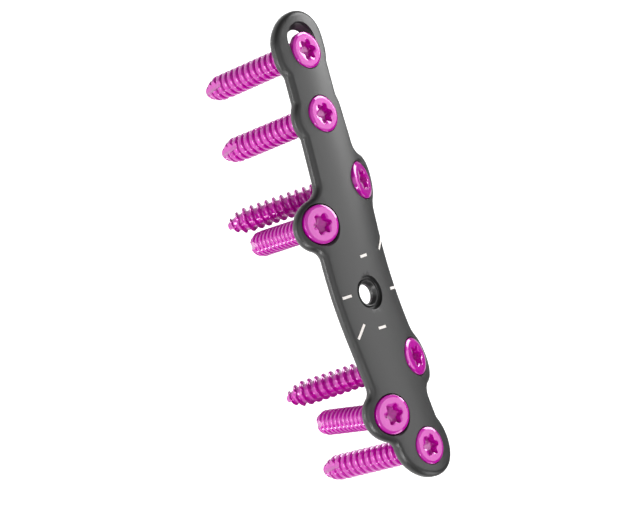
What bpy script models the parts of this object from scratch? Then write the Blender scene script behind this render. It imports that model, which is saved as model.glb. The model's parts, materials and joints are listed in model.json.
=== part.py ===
"""Low-profile bone plate, bent to the bone, with seven bone screws in its holes.

The plate is a flat blank with a lobe round each screw hole. Its outer edge is
rounded, the blank is bent across and along to follow the bone, and the screw
holes, the slot and the stepped centre hole are then cut on their own axes.

Frame: the origin is on the axis of the centre hole, at the plate's bone side.
+X runs across the plate, +Y along it towards the slot, +Z away from the bone.
"""

import math
from dataclasses import dataclass

import bmesh
import bpy
from mathutils import Matrix, Vector

MM = 0.001
DEG = math.pi / 180.0

# Plate section and bends
PLATE_THICKNESS = 1.4 * MM
OUTER_EDGE_RADIUS = 1.2 * MM
BONE_EDGE_CHAMFER = 0.12 * MM
BONE_RADIUS = 15.0 * MM
BOW_RADIUS = 450.0 * MM
ARM_BEND_RADIUS = 50.0 * MM
ARM_BEND_CENTRE = 1.3 * MM
UPPER_ARM_ANGLE = 7.5 * DEG
LOWER_ARM_ANGLE = 7.4 * DEG

# Straight edges between the lobes, as distances from the plate's middle line
UPPER_NECK_RIGHT = 3.77 * MM
UPPER_NECK_LEFT = 3.96 * MM
SHOULDER_RIGHT = 4.64 * MM
SHOULDER_LEFT = 3.93 * MM
BODY_RIGHT = 6.46 * MM
BODY_LEFT = 5.4 * MM
LOWER_NECK_RIGHT = 4.02 * MM
NECK_FILLET = 0.9 * MM
LOBE_FILLET = 1.9 * MM
CORNER_FILLET = 1.4 * MM

# Slot: how far the upper screw can be set towards the plate's end, and how far that
# end is drawn out for it
SLOT_TRAVEL = 1.45 * MM
SLOT_END_TRAVEL = 1.06 * MM

# Centre hole, in two steps
CENTRE_MOUTH_RADIUS = 2.35 * MM
CENTRE_STEP_RADIUS = 1.85 * MM
CENTRE_STEP_DEPTH = 0.6 * MM
CENTRE_BORE_RADIUS = 1.35 * MM

# Running gaps between the screws and the plate
HEAD_GAP = 0.22 * MM
SHAFT_GAP = 0.22 * MM
HOLE_MOUTH_BREAK = 0.12 * MM

# Hexalobe socket shared by all heads
SOCKET_POINT_RADIUS = 1.42 * MM
SOCKET_WAIST_RADIUS = 0.98 * MM
SOCKET_DEPTH = 1.05 * MM
SOCKET_LOBES = 6

# Bone threads and the flutes that cut them into the bone
THREAD_RADIUS = 1.75 * MM
THREAD_RUN_IN = 0.4 * MM
SPIGOT_INSET = 0.4 * MM
ENVELOPE_OVERSIZE = 0.2 * MM
TIP_CROWN = 0.3
FLUTE_RADIUS = 0.65 * MM
FLUTE_DEPTH = 0.7 * MM
FLUTE_RUN_OUT = 9.0 * DEG
FLUTE_COUNT = 3

# How finely round shapes and bends are divided
ARC_STEP = 15.0 * DEG
TURN_STEPS = 24
THREAD_STEPS = 10
FLUTE_SIDES = 10
SOCKET_POINT_STEPS = 3
HEAD_EDGE_STEPS = 2
OUTER_EDGE_STEPS = 3
BEND_GRID_ACROSS = 2.2 * MM
BEND_GRID_ALONG = 5.0 * MM
CUTTER_REACH = 3.0 * MM

# The exact solver leaves open edges where flutes cross the threads
THREAD_SOLVER = "MANIFOLD"

PLATE_COLOUR = (0.085, 0.086, 0.087, 1.0)
SCREW_COLOUR = (0.62, 0.0, 0.42, 1.0)


@dataclass(frozen=True)
class Hole:
    """A screw hole on the flat blank, with the lobe of the outline round it.

    The lobe's centre lies off the hole's by lobe_aside across and lobe_rise along.
    """

    across: float
    along: float
    lobe: float
    lobe_aside: float = 0.0
    lobe_rise: float = 0.0


@dataclass(frozen=True)
class ScrewKind:
    """Sizes of one kind of bone screw, along its axis from the head's flat face.

    The ridge of the thread takes what root_flat leaves of each pitch, and crest_share
    is how far down the ridge its crest lies: under 0.5 leans it towards the head.
    """

    head_radius: float
    rim_height: float
    edge_radius: float
    length: float
    tip_length: float
    tip_radius: float
    flute_length: float
    pitch: float
    core_radius: float
    root_flat: float
    crest_share: float


@dataclass(frozen=True)
class Screw:
    """One screw of the set: its kind, its hole and how it leans in that hole."""

    name: str
    kind: ScrewKind
    hole: Hole
    lean_across: float
    lean_along: float
    proud: float


SLOT_HOLE = Hole(across=-0.1 * MM, along=33.4 * MM, lobe=4.55 * MM, lobe_aside=-0.14 * MM)
UPPER_HOLE = Hole(across=-0.15 * MM, along=24.6 * MM, lobe=4.45 * MM)
UPPER_SIDE_HOLE = Hole(across=4.55 * MM, along=14.65 * MM, lobe=3.97 * MM)
UPPER_LOBE_HOLE = Hole(across=-4.6 * MM, along=10.6 * MM, lobe=3.6 * MM)
LOWER_SIDE_HOLE = Hole(across=4.15 * MM, along=-9.95 * MM, lobe=4.19 * MM)
LOWER_LOBE_HOLE = Hole(across=-3.7 * MM, along=-16.4 * MM, lobe=3.75 * MM)
END_HOLE = Hole(across=0.1 * MM, along=-21.85 * MM, lobe=4.84 * MM, lobe_rise=0.62 * MM)

CORTICAL = ScrewKind(
    head_radius=2.52 * MM,
    rim_height=0.55 * MM,
    edge_radius=0.25 * MM,
    length=20.0 * MM,
    tip_length=2.6 * MM,
    tip_radius=0.3 * MM,
    flute_length=5.5 * MM,
    pitch=1.12 * MM,
    core_radius=1.4 * MM,
    root_flat=0.5 * MM,
    crest_share=0.33,
)
CANCELLOUS = ScrewKind(
    head_radius=2.58 * MM,
    rim_height=0.6 * MM,
    edge_radius=0.3 * MM,
    length=20.6 * MM,
    tip_length=2.6 * MM,
    tip_radius=0.3 * MM,
    flute_length=5.5 * MM,
    pitch=1.14 * MM,
    core_radius=1.2 * MM,
    root_flat=0.62 * MM,
    crest_share=0.31,
)
LOCKING = ScrewKind(
    head_radius=2.66 * MM,
    rim_height=0.6 * MM,
    edge_radius=0.3 * MM,
    length=17.0 * MM,
    tip_length=1.6 * MM,
    tip_radius=0.9 * MM,
    flute_length=4.5 * MM,
    pitch=0.97 * MM,
    core_radius=1.5 * MM,
    root_flat=0.0 * MM,
    crest_share=0.5,
)

SCREWS = (
    Screw("slot_screw", CORTICAL, SLOT_HOLE, 0.0 * DEG, 4.3 * DEG, 0.2 * MM),
    Screw("upper_neck_screw", CORTICAL, UPPER_HOLE, 0.0 * DEG, 3.5 * DEG, 0.2 * MM),
    Screw("upper_coarse_screw", CANCELLOUS, UPPER_SIDE_HOLE, 22.0 * DEG, 1.7 * DEG, 0.15 * MM),
    Screw("upper_locking_screw", LOCKING, UPPER_LOBE_HOLE, -14.0 * DEG, 0.4 * DEG, 0.15 * MM),
    Screw("lower_coarse_screw", CANCELLOUS, LOWER_SIDE_HOLE, 16.0 * DEG, 1.2 * DEG, 0.15 * MM),
    Screw("lower_locking_screw", LOCKING, LOWER_LOBE_HOLE, -13.0 * DEG, -5.5 * DEG, 0.15 * MM),
    Screw("end_screw", CORTICAL, END_HOLE, 0.0 * DEG, -2.2 * DEG, 0.2 * MM),
)


def clear_scene():
    """Remove whatever the file holds, so that only the plate and screws remain."""
    for scene_object in list(bpy.data.objects):
        bpy.data.objects.remove(scene_object, do_unlink=True)


def new_collection(name):
    """Add a collection to the scene."""
    collection = bpy.data.collections.new(name)
    bpy.context.scene.collection.children.link(collection)
    return collection


def metal(name, colour, roughness):
    """A metal with one colour and roughness."""
    material = bpy.data.materials.new(name)
    material.use_nodes = True
    shader = material.node_tree.nodes["Principled BSDF"]
    shader.inputs["Base Color"].default_value = colour
    shader.inputs["Roughness"].default_value = roughness
    shader.inputs["Metallic"].default_value = 1.0
    return material


def mesh_object(name, mesh, collection):
    """Link a mesh to a collection as an object."""
    new_object = bpy.data.objects.new(name, mesh)
    collection.objects.link(new_object)
    return new_object


def make_cutter(cutter):
    """Mark an object as a cutting tool that isn't part of the product."""
    cutter.hide_render = True
    cutter.display_type = "WIRE"


def combine(target, tool, operation, solver="EXACT"):
    """Cut a tool out of a target, join the two, or keep only what they share."""
    boolean = target.modifiers.new(tool.name, "BOOLEAN")
    boolean.operation = operation
    boolean.solver = solver
    boolean.object = tool


def turned(name, profile, collection, steps=TURN_STEPS):
    """A solid turned about its own Z axis from (radius, height) points, top to bottom."""
    points = [(radius, 0.0, height) for radius, height in profile]
    edges = [(index, index + 1) for index in range(len(points) - 1)]
    mesh = bpy.data.meshes.new(name)
    mesh.from_pydata(points, edges, [])
    body = mesh_object(name, mesh, collection)
    screw = body.modifiers.new("Turn", "SCREW")
    screw.steps = steps
    screw.render_steps = steps
    screw.use_merge_vertices = True
    screw.merge_threshold = 1e-6
    return body


def applied(body):
    """Turn an object's live modifiers into plain mesh."""
    graph = bpy.context.evaluated_depsgraph_get()
    mesh = bpy.data.meshes.new_from_object(body.evaluated_get(graph))
    body.modifiers.clear()
    body.data = mesh
    return body


def arc(centre, radius, start, end):
    """Points on an arc, both ends included, no further apart than ARC_STEP."""
    steps = max(2, math.ceil(abs(end - start) / ARC_STEP))
    angles = [start + (end - start) * step / steps for step in range(steps + 1)]
    return [
        (centre[0] + radius * math.cos(angle), centre[1] + radius * math.sin(angle))
        for angle in angles
    ]


def edge_fillet(centre, radius, edge, fillet, below):
    """Centre of a fillet between a lobe and the straight edge under or over it."""
    reach = radius + fillet
    sideways = min(edge + fillet - centre[0], reach)
    rise = math.sqrt(reach**2 - sideways**2)
    return centre[0] + sideways, centre[1] - rise if below else centre[1] + rise


def lobe_fillet(upper, upper_radius, lower, lower_radius, fillet):
    """Centre of a fillet in the outer corner between two lobes that overlap."""
    first = upper_radius + fillet
    second = lower_radius + fillet
    gap = math.dist(upper, lower)
    along = (gap**2 + first**2 - second**2) / (2.0 * gap)
    out = math.sqrt(first**2 - along**2)
    step = ((lower[0] - upper[0]) / gap, (lower[1] - upper[1]) / gap)
    return upper[0] + step[0] * along - step[1] * out, upper[1] + step[1] * along + step[0] * out


def bearing(centre, target):
    """Angle at which a target lies, seen from a centre."""
    return math.atan2(target[1] - centre[1], target[0] - centre[0])


def lobe_centre(side, hole):
    """Centre of a hole's lobe on one side of the outline, which is drawn as the right one."""
    return side * (hole.across + hole.lobe_aside), hole.along + hole.lobe_rise


def outline_side(side, holes, edges, fillets):
    """One side of the outline from the slot end down, as points (across, along).

    side is 1 on the right and -1 on the left. edges[k] is the straight edge between
    holes[k] and holes[k + 1], or None where their lobes meet in one fillet, and
    fillets[k] holds the radii that join it to their lobes.
    """
    points = []
    start = math.pi / 2
    for index, hole in enumerate(holes):
        centre = lobe_centre(side, hole)
        if index == len(edges):
            points += arc(centre, hole.lobe, start, -math.pi / 2)
            continue
        edge = edges[index]
        upper_fillet, lower_fillet = fillets[index]
        below = holes[index + 1]
        next_centre = lobe_centre(side, below)
        if edge is None:
            corner = lobe_fillet(centre, hole.lobe, next_centre, below.lobe, upper_fillet)
            leave = bearing(centre, corner)
            points += arc(centre, hole.lobe, start, leave)
            start = bearing(next_centre, corner)
            points += arc(corner, upper_fillet, leave + math.pi, start + math.pi)
            continue
        upper = edge_fillet(centre, hole.lobe, edge, upper_fillet, below=True)
        lower = edge_fillet(next_centre, below.lobe, edge, lower_fillet, below=False)
        leave = bearing(centre, upper)
        points += arc(centre, hole.lobe, start, leave)
        points += arc(upper, upper_fillet, leave + math.pi, math.pi)
        start = bearing(next_centre, lower)
        points += arc(lower, lower_fillet, math.pi, math.pi + start)
    return [(side * across, along) for across, along in points]


def slot_stretch(along, centre, travel):
    """Move what lies beyond the slot screw's centre on by a travel."""
    if along > centre + 1e-7:
        return along + travel
    return along


def plate_outline():
    """The blank's closed outline, anticlockwise from the slot end."""
    right = outline_side(
        1,
        (SLOT_HOLE, UPPER_HOLE, UPPER_SIDE_HOLE, LOWER_SIDE_HOLE, END_HOLE),
        (UPPER_NECK_RIGHT, SHOULDER_RIGHT, BODY_RIGHT, LOWER_NECK_RIGHT),
        (
            (NECK_FILLET, NECK_FILLET),
            (NECK_FILLET, LOBE_FILLET),
            (LOBE_FILLET, LOBE_FILLET),
            (LOBE_FILLET, NECK_FILLET),
        ),
    )
    left = outline_side(
        -1,
        (SLOT_HOLE, UPPER_HOLE, UPPER_LOBE_HOLE, LOWER_LOBE_HOLE, END_HOLE),
        (UPPER_NECK_LEFT, SHOULDER_LEFT, BODY_LEFT, None),
        (
            (NECK_FILLET, NECK_FILLET),
            (NECK_FILLET, LOBE_FILLET),
            (LOBE_FILLET, LOBE_FILLET),
            (CORNER_FILLET, CORNER_FILLET),
        ),
    )
    ring = left + right[::-1]
    return [
        (across, slot_stretch(along, SLOT_HOLE.along, SLOT_END_TRAVEL)) for across, along in ring
    ]


def arm_offset(along):
    """Sideways place of the middle line, where the two arms meet in a bend."""
    upper_end = ARM_BEND_RADIUS * math.sin(UPPER_ARM_ANGLE)
    lower_end = -ARM_BEND_RADIUS * math.sin(LOWER_ARM_ANGLE)
    reach = along - ARM_BEND_CENTRE
    bend = min(max(reach, lower_end), upper_end)
    offset = ARM_BEND_RADIUS - math.sqrt(ARM_BEND_RADIUS**2 - bend**2)
    offset += max(reach - upper_end, 0.0) * math.tan(UPPER_ARM_ANGLE)
    offset += max(lower_end - reach, 0.0) * math.tan(LOWER_ARM_ANGLE)
    return offset


def bent(across, along, height):
    """Where a point of the flat blank lies once the blank follows the bone."""
    angle = across / BONE_RADIUS
    middle = arm_offset(along) - arm_offset(0.0)
    drop = -along * along / (2.0 * BOW_RADIUS)
    slope = -along / BOW_RADIUS
    return Vector((
        middle + (BONE_RADIUS + height) * math.sin(angle),
        along - height * slope,
        drop + (BONE_RADIUS + height) * math.cos(angle) - BONE_RADIUS,
    ))


def seat_matrix(hole, lean_across, lean_along):
    """Frame of a hole: its origin on the outer face, its Z along the screw."""
    axis = Vector((math.tan(lean_across), math.tan(lean_along), 1.0)).normalized()
    along = (Vector((0.0, 1.0, 0.0)) - axis * axis.y).normalized()
    across = along.cross(axis)
    matrix = Matrix((across, along, axis)).transposed().to_4x4()
    matrix.translation = bent(hole.across, hole.along, PLATE_THICKNESS)
    return matrix


def head_floor(kind):
    """Height at which the head's cone begins, below its flat face."""
    return -(kind.edge_radius + kind.rim_height)


def hole_cutter(name, screw, collection):
    """The tool that sinks a screw's seat into the plate."""
    kind = screw.kind
    bore = THREAD_RADIUS + SHAFT_GAP
    seat = kind.head_radius + HEAD_GAP
    cone_top = screw.proud + head_floor(kind) - HEAD_GAP * math.tan(22.5 * DEG)
    mouth = -HOLE_MOUTH_BREAK
    profile = (
        (0.0, CUTTER_REACH),
        (seat + CUTTER_REACH - mouth, CUTTER_REACH),
        (seat, mouth),
        (seat, cone_top),
        (bore, cone_top - (seat - bore)),
        (bore, -PLATE_THICKNESS - CUTTER_REACH),
        (0.0, -PLATE_THICKNESS - CUTTER_REACH),
    )
    cutter = turned(name, profile, collection)
    make_cutter(cutter)
    return cutter


def lengthen_for_slot(cutter):
    """Draw a turned cutter out along its Y, so that it cuts a slot."""
    applied(cutter)
    for vertex in cutter.data.vertices:
        vertex.co.y = slot_stretch(vertex.co.y, 0.0, SLOT_TRAVEL)


def centre_hole_cutter(collection):
    """The tool for the stepped hole in the middle of the plate."""
    step = -CENTRE_STEP_DEPTH
    shoulder = CENTRE_MOUTH_RADIUS - CENTRE_STEP_RADIUS
    profile = (
        (0.0, CUTTER_REACH),
        (CENTRE_MOUTH_RADIUS, CUTTER_REACH),
        (CENTRE_MOUTH_RADIUS, 0.0),
        (CENTRE_STEP_RADIUS, -shoulder * 0.5),
        (CENTRE_STEP_RADIUS, step),
        (CENTRE_BORE_RADIUS, step),
        (CENTRE_BORE_RADIUS, -PLATE_THICKNESS - CUTTER_REACH),
        (0.0, -PLATE_THICKNESS - CUTTER_REACH),
    )
    cutter = turned("centre_hole_cutter", profile, collection)
    make_cutter(cutter)
    cutter.matrix_world = seat_matrix(Hole(0.0, 0.0, 0.0), 0.0, 0.0)
    return cutter


def blank_mesh():
    """The flat blank with its edges rounded, gridded and bent to the bone."""
    outline = plate_outline()
    shape = bmesh.new()
    corners = [shape.verts.new((across, along, 0.0)) for across, along in outline]
    bmesh.ops.remove_doubles(shape, verts=corners, dist=1e-6)
    bone_face = shape.faces.new(shape.verts)
    bone_face.normal_update()
    if bone_face.normal.z > 0.0:
        bone_face.normal_flip()
    raised = bmesh.ops.extrude_face_region(shape, geom=[bone_face], use_keep_orig=True)
    outer = [item for item in raised["geom"] if isinstance(item, bmesh.types.BMVert)]
    bmesh.ops.translate(shape, verts=outer, vec=(0.0, 0.0, PLATE_THICKNESS))
    bmesh.ops.recalc_face_normals(shape, faces=shape.faces)
    round_rim(shape, PLATE_THICKNESS, OUTER_EDGE_RADIUS, OUTER_EDGE_STEPS)
    round_rim(shape, 0.0, BONE_EDGE_CHAMFER, 1)
    grid(shape)
    for vertex in shape.verts:
        vertex.co = bent(*vertex.co)
    mesh = bpy.data.meshes.new("plate")
    shape.to_mesh(mesh)
    shape.free()
    return mesh


def round_rim(shape, height, radius, segments):
    """Round or break the rim of the flat face at a height of the blank."""
    rim = [
        edge
        for edge in shape.edges
        if all(abs(vertex.co.z - height) < 1e-7 for vertex in edge.verts)
    ]
    bmesh.ops.bevel(
        shape,
        geom=rim,
        offset=radius,
        offset_type="OFFSET",
        segments=segments,
        profile=0.5,
        affect="EDGES",
    )


def grid(shape):
    """Cut the blank along a grid, so that its flat faces can follow the bends."""
    spans = [(vertex.co.x, vertex.co.y) for vertex in shape.verts]
    for axis, step in ((0, BEND_GRID_ACROSS), (1, BEND_GRID_ALONG)):
        low = min(span[axis] for span in spans)
        high = max(span[axis] for span in spans)
        for line in range(math.ceil(low / step), math.floor(high / step) + 1):
            place = Vector((0.0, 0.0, 0.0))
            place[axis] = line * step
            normal = Vector((0.0, 0.0, 0.0))
            normal[axis] = 1.0
            bmesh.ops.bisect_plane(
                shape,
                geom=list(shape.verts) + list(shape.edges) + list(shape.faces),
                dist=1e-7,
                plane_co=place,
                plane_no=normal,
            )
    bmesh.ops.triangulate(shape, faces=shape.faces)


def make_plate(parts, cutters, finish):
    """The plate, with the seat of every screw, the slot and the centre hole."""
    plate = mesh_object("plate", blank_mesh(), parts)
    plate.data.materials.append(finish)
    for screw in SCREWS:
        cutter = hole_cutter(screw.name + "_seat", screw, cutters)
        if screw.hole is SLOT_HOLE:
            lengthen_for_slot(cutter)
        cutter.matrix_world = seat_matrix(screw.hole, screw.lean_across, screw.lean_along)
        combine(plate, cutter, "DIFFERENCE")
    combine(plate, centre_hole_cutter(cutters), "DIFFERENCE")
    return plate


def socket_outline():
    """A six-pointed socket: narrow points, with the walls bulging in between."""
    half = math.pi / SOCKET_LOBES
    fall = SOCKET_POINT_RADIUS - SOCKET_WAIST_RADIUS
    points = []
    for lobe in range(SOCKET_LOBES):
        for step in range(-SOCKET_POINT_STEPS, SOCKET_POINT_STEPS):
            share = step / SOCKET_POINT_STEPS
            radius = SOCKET_POINT_RADIUS - fall * math.sin(abs(share) * math.pi / 2.0)
            angle = half * (2.0 * lobe + share)
            points.append((radius * math.cos(angle), radius * math.sin(angle)))
    return points


def socket_cutter(name, screw, placing, collection):
    """The tool that forms the driver socket in a head."""
    outline = socket_outline()
    shape = bmesh.new()
    floor = [shape.verts.new((x, y, -SOCKET_DEPTH)) for x, y in outline]
    face = shape.faces.new(floor)
    raised = bmesh.ops.extrude_face_region(shape, geom=[face], use_keep_orig=True)
    mouth = [item for item in raised["geom"] if isinstance(item, bmesh.types.BMVert)]
    bmesh.ops.translate(shape, verts=mouth, vec=(0.0, 0.0, SOCKET_DEPTH + CUTTER_REACH))
    bmesh.ops.recalc_face_normals(shape, faces=shape.faces)
    mesh = bpy.data.meshes.new(name)
    shape.to_mesh(mesh)
    shape.free()
    cutter = mesh_object(name, mesh, collection)
    make_cutter(cutter)
    cutter.matrix_world = placing @ Matrix.Translation((0.0, 0.0, screw.proud))
    return cutter


def flute_cutter(name, screw, placing, turn, collection):
    """A round bar beside the tip, leaning out, that leaves one cutting flute."""
    kind = screw.kind
    shape = bmesh.new()
    bmesh.ops.create_cone(
        shape,
        cap_ends=True,
        segments=FLUTE_SIDES,
        radius1=FLUTE_RADIUS,
        radius2=FLUTE_RADIUS,
        depth=2.0 * kind.flute_length,
    )
    mesh = bpy.data.meshes.new(name)
    shape.to_mesh(mesh)
    shape.free()
    cutter = mesh_object(name, mesh, collection)
    make_cutter(cutter)
    tip = screw.proud - kind.length
    cutter.matrix_world = (
        placing
        @ Matrix.Rotation(turn, 4, "Z")
        @ Matrix.Translation((THREAD_RADIUS - FLUTE_DEPTH + FLUTE_RADIUS, 0.0, tip))
        @ Matrix.Rotation(FLUTE_RUN_OUT, 4, "Y")
    )
    return cutter


def head_profile(screw):
    """Outline of the head and its cone, with a spigot that runs on inside the thread."""
    kind = screw.kind
    face = screw.proud
    edge = kind.edge_radius
    points = [(0.0, face)]
    for step in range(HEAD_EDGE_STEPS + 1):
        angle = math.pi / 2.0 * (1.0 - step / HEAD_EDGE_STEPS)
        points.append((
            kind.head_radius - edge + edge * math.cos(angle),
            face - edge + edge * math.sin(angle),
        ))
    cone_top = face + head_floor(kind)
    cone_end = cone_top - (kind.head_radius - THREAD_RADIUS)
    inner = kind.core_radius - SPIGOT_INSET
    points += [
        (kind.head_radius, cone_top),
        (THREAD_RADIUS, cone_end),
        (inner, cone_end - THREAD_RUN_IN),
        (0.0, cone_end - THREAD_RUN_IN),
    ]
    return points


def shaft_envelope(screw):
    """Outline that the thread is turned down to: a plain shaft with its tip."""
    kind = screw.kind
    tip = screw.proud - kind.length
    cone_end = screw.proud + head_floor(kind) - (kind.head_radius - THREAD_RADIUS)
    over = THREAD_RADIUS + ENVELOPE_OVERSIZE
    top = cone_end + 0.5 * THREAD_RUN_IN
    return [
        (0.0, top),
        (over, top),
        (over, tip + kind.tip_length),
        (kind.tip_radius, tip + TIP_CROWN * kind.tip_radius),
        (0.0, tip),
    ]


def threaded_rod(name, screw, collection):
    """A right-hand thread of one pitch, repeated down the shaft and closed at both ends."""
    kind = screw.kind
    ridge = kind.pitch - kind.root_flat
    top = screw.proud - kind.length
    profile = [
        (kind.core_radius, top),
        (THREAD_RADIUS, top - kind.crest_share * ridge),
        (kind.core_radius, top - ridge),
    ]
    if kind.root_flat > 0.0:
        profile.append((kind.core_radius, top - kind.pitch))
    rod = turned(name, profile, collection, THREAD_STEPS)
    helix = rod.modifiers["Turn"]
    helix.screw_offset = kind.pitch
    helix.iterations = math.ceil(kind.length / kind.pitch) + 1
    applied(rod)
    close_ends(rod.data)
    return rod


def close_ends(mesh):
    """Join the thread's turns and close each end with a fan from the axis."""
    shape = bmesh.new()
    shape.from_mesh(mesh)
    bmesh.ops.remove_doubles(shape, verts=shape.verts, dist=1e-7)
    open_edges = [edge for edge in shape.edges if edge.is_boundary]
    middle = sum(vertex.co.z for vertex in shape.verts) / len(shape.verts)
    for upper in (True, False):
        rim = [edge for edge in open_edges if (edge.verts[0].co.z > middle) == upper]
        height = sum(edge.verts[0].co.z for edge in rim) / len(rim)
        hub = shape.verts.new((0.0, 0.0, height))
        for edge in rim:
            shape.faces.new((*edge.verts, hub))
    bmesh.ops.recalc_face_normals(shape, faces=shape.faces)
    shape.to_mesh(mesh)
    shape.free()


def make_screw(screw, parts, cutters, finish):
    """One bone screw: thread, head, driver socket and cutting flutes."""
    placing = seat_matrix(screw.hole, screw.lean_across, screw.lean_along)
    body = threaded_rod(screw.name, screw, parts)
    body.data.materials.clear()
    body.data.materials.append(finish)
    body.matrix_world = placing
    envelope = turned(screw.name + "_envelope", shaft_envelope(screw), cutters, THREAD_STEPS)
    head = turned(screw.name + "_head", head_profile(screw), cutters)
    for tool in (envelope, head):
        make_cutter(tool)
        tool.matrix_world = placing
    combine(body, envelope, "INTERSECT", THREAD_SOLVER)
    combine(body, head, "UNION", THREAD_SOLVER)
    socket = socket_cutter(screw.name + "_socket", screw, placing, cutters)
    combine(body, socket, "DIFFERENCE", THREAD_SOLVER)
    for flute in range(FLUTE_COUNT):
        turn = 2.0 * math.pi * flute / FLUTE_COUNT
        cutter = flute_cutter(f"{screw.name}_flute_{flute}", screw, placing, turn, cutters)
        combine(body, cutter, "DIFFERENCE", THREAD_SOLVER)
    return body


def main():
    """Build the plate and its seven screws."""
    clear_scene()
    parts = new_collection("bone_plate")
    cutters = new_collection("cutters")
    plate_finish = metal("dark_anodised", PLATE_COLOUR, 0.4)
    screw_finish = metal("magenta_anodised", SCREW_COLOUR, 0.25)
    make_plate(parts, cutters, plate_finish)
    for screw in SCREWS:
        make_screw(screw, parts, cutters, screw_finish)


if __name__ == "__main__":
    main()
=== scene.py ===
"""Finished look of a low-profile bone plate with seven bone screws in its holes.

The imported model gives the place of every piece. Around it this script builds the
plate with smooth bends and a rounded edge, and the screws with true helical
threads. It adds their anodised finishes, the etched marks and a plain studio.

Lengths are metres. +Z points away from the bone, +Y along the plate to the slot.
"""

from __future__ import annotations

import json
import logging
import math
from dataclasses import dataclass
from enum import Enum

import bmesh
import bpy
from mathutils import Matrix, Vector

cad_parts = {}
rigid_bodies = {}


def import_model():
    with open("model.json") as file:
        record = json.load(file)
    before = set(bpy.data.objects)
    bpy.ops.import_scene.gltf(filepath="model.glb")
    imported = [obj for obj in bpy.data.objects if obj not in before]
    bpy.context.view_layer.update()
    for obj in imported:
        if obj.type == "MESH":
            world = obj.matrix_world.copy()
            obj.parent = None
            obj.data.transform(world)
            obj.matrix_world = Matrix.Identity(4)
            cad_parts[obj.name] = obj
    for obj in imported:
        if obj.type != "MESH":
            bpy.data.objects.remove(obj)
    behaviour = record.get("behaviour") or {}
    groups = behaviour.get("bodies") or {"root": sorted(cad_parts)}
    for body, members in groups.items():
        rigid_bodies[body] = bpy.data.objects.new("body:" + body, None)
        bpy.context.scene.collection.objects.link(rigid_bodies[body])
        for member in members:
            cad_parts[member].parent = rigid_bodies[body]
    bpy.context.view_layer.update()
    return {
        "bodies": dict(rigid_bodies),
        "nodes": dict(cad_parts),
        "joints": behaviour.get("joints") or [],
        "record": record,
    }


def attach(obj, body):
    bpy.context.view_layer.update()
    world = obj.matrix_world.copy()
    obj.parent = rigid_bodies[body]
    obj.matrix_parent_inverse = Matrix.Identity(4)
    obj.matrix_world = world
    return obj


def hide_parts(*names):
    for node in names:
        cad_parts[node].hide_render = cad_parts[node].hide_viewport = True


MM = 0.001
DEG = math.pi / 180.0
FULL_TURN = 2.0 * math.pi
WHITE = (1.0, 1.0, 1.0, 1.0)
BODY = "root"

# Points of the blank that are closer than this lie on one plane
SAME_PLACE = 1e-7
# How far a cutter stands out of the plate
CUTTER_REACH = 3.0 * MM

log = logging.getLogger("bone_plate")

Colour = tuple[float, float, float, float]
Point = tuple[float, float]
Profile = tuple[Point, ...]
Ring = tuple[list[float], float]
Inputs = dict[str | int, object]
Group = tuple[bpy.types.NodeTree, bpy.types.Node, bpy.types.Node]


def linear_colour(red: int, green: int, blue: int) -> Colour:
    """Turn an 8-bit display colour into the linear values that a shader takes.

    Args:
        red: Red on the display, 0 to 255.
        green: Green on the display, 0 to 255.
        blue: Blue on the display, 0 to 255.

    Returns:
        The linear colour, with full alpha.
    """

    def channel(value: int) -> float:
        """One channel from display to linear, by the display standard's curve."""
        share = value / 255.0
        return share / 12.92 if share <= 0.04045 else ((share + 0.055) / 1.055) ** 2.4

    return channel(red), channel(green), channel(blue), 1.0


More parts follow.
